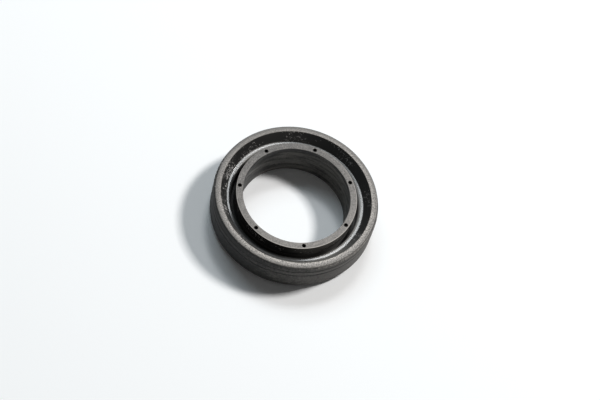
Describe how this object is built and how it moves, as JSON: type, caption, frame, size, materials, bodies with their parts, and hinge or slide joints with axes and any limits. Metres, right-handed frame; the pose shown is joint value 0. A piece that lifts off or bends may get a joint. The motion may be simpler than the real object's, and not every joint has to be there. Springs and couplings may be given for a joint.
{
  "type": "radial shaft seal",
  "caption": "Rubber-covered rotary shaft seal with a sprung sealing lip, a dust lip and a ribbed outside that presses into a housing bore.",
  "frame": {"origin": "centre of the back (air side) face, on the axis", "axes": "+Z along the seal's axis, from the back face towards the lip face; the first pin hole is at 19.75 degrees from +X"},
  "size_m": [0.045, 0.045, 0.0103],
  "materials": {
    "rubber": "moulded black nitrile rubber, semi-matt, with grey trimmed faces on the rim and the lip",
    "ring_steel": "pressed mild steel, bonded into the rubber",
    "spring_steel": "drawn spring wire, dark with oil"
  },
  "bodies": {
    "root": {"rubber_body": "rubber", "stiffening_ring": "ring_steel", "garter_spring": "spring_steel"}
  },
  "joints": []
}
